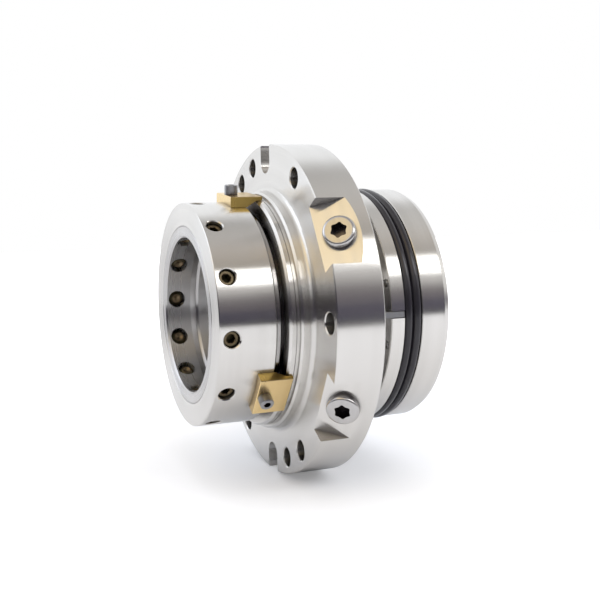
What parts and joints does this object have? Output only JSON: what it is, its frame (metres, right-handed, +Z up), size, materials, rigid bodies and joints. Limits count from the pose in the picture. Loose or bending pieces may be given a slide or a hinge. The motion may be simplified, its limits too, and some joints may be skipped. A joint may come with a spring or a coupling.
{
  "type": "cartridge mechanical seal",
  "caption": "Double cartridge mechanical seal with drive collar, slotted gland plate, angled port plugs, setting clips and a spring-loaded inboard carrier with O-rings.",
  "frame": {"origin": "on the shaft axis in the plane of the gland plate's front face", "axes": "+X along the shaft axis from the drive collar towards the pump, +Z up"},
  "size_m": [0.1563, 0.2184, 0.2184],
  "materials": {
    "stainless": "fine turned",
    "screw_steel": "plain",
    "spring_steel": "drawn wire",
    "yellow_zinc": "yellow passivated",
    "brass": "milled",
    "elastomer": "smooth",
    "seal_ceramic": "lapped",
    "seal_carbon": "lapped"
  },
  "bodies": {
    "gland": {"gland_plate": "stainless", "gland_o_ring": "elastomer", "port_plug_upper": "screw_steel", "port_plug_lower": "screw_steel", "outboard_seat": "seal_ceramic", "outboard_seat_o_ring": "elastomer", "outboard_seat_pin": "screw_steel", "carrier_lugs": "screw_steel", "carrier_springs": "spring_steel"},
    "rotor": {"shaft_sleeve": "stainless", "drive_collar": "stainless", "collar_set_screws": "yellow_zinc", "shaft_o_ring": "elastomer", "setting_clip_top": "brass", "setting_clip_front": "brass", "setting_clip_rear": "brass", "clip_screws": "screw_steel", "drive_ring": "stainless", "drive_ring_screws": "screw_steel", "face_springs": "spring_steel", "face_drive_pins": "screw_steel", "inboard_rotary_face": "seal_carbon", "inboard_face_o_ring": "elastomer", "flange_drive_pins": "screw_steel"},
    "outboard_face": {"outboard_rotary_face": "seal_carbon", "outboard_face_o_ring": "elastomer"},
    "carrier": {"inboard_carrier": "stainless", "carrier_o_ring_front": "elastomer", "carrier_o_ring_rear": "elastomer", "inboard_seat": "seal_ceramic", "inboard_seat_o_ring": "elastomer", "inboard_seat_pin": "screw_steel"}
  },
  "joints": [
    {"name": "rotor_spin", "type": "hinge", "parent": "gland", "child": "rotor", "pos_m": [0, 0, 0], "axis": [1, 0, 0], "continuous": true},
    {"name": "outboard_face_float", "type": "slide", "parent": "rotor", "child": "outboard_face", "axis": [1, 0, 0], "range_m": [0, 0.001]},
    {"name": "carrier_float", "type": "slide", "parent": "gland", "child": "carrier", "axis": [1, 0, 0], "range_m": [-0.0006, 0]}
  ]
}
